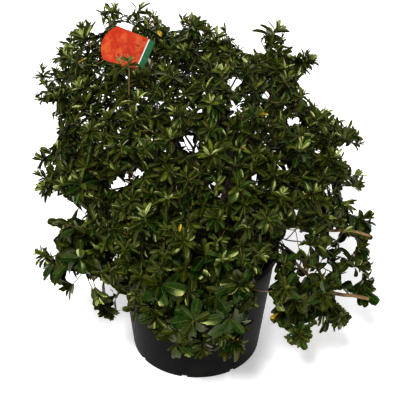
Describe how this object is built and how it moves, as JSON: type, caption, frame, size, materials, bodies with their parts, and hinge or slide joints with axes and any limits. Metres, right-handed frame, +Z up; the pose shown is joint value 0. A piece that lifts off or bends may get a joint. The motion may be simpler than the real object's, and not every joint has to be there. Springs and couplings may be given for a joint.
{
  "type": "potted azalea shrub",
  "caption": "Rounded evergreen azalea shrub with dense whorls of small leaves on short forked stems, standing in a round tapered nursery pot with a plain plant tag.",
  "frame": {"origin": "centre of the pot's flat underside", "axes": "+Z up the plant, -Y towards the front, +X to the right as seen from the front"},
  "size_m": [0.6832, 0.6391, 0.7577],
  "materials": {
    "pot": "satin",
    "potting_mix": "matte",
    "bark": "matte",
    "foliage": "satin",
    "label": "satin"
  },
  "bodies": {
    "root": {"pot": "pot", "potting_mix": "potting_mix", "stem": "bark", "limb_1": "bark", "limb_2": "bark", "limb_3": "bark", "limb_4": "bark", "limb_5": "bark", "limb_6": "bark", "bough_skirt_1": "bark", "bough_skirt_2": "bark", "bough_skirt_3": "bark", "bough_skirt_4": "bark", "bough_skirt_5": "bark", "bough_skirt_6": "bark", "bough_shoulder_1": "bark", "bough_shoulder_2": "bark", "bough_shoulder_3": "bark", "bough_shoulder_4": "bark", "bough_shoulder_5": "bark", "bough_shoulder_6": "bark", "bough_top_1": "bark", "bough_top_2": "bark", "bough_top_3": "bark", "bough_top_4": "bark", "bough_top_5": "bark", "bough_top_6": "bark", "plant_label": "label", "foliage_skirt_1": "foliage", "foliage_skirt_2": "foliage", "foliage_skirt_3": "foliage", "foliage_skirt_4": "foliage", "foliage_skirt_5": "foliage", "foliage_skirt_6": "foliage", "foliage_shoulder_1": "foliage", "foliage_shoulder_2": "foliage", "foliage_shoulder_3": "foliage", "foliage_shoulder_4": "foliage", "foliage_shoulder_5": "foliage", "foliage_shoulder_6": "foliage", "foliage_top_1": "foliage", "foliage_top_2": "foliage", "foliage_top_3": "foliage", "foliage_top_4": "foliage", "foliage_top_5": "foliage", "foliage_top_6": "foliage"}
  },
  "joints": []
}
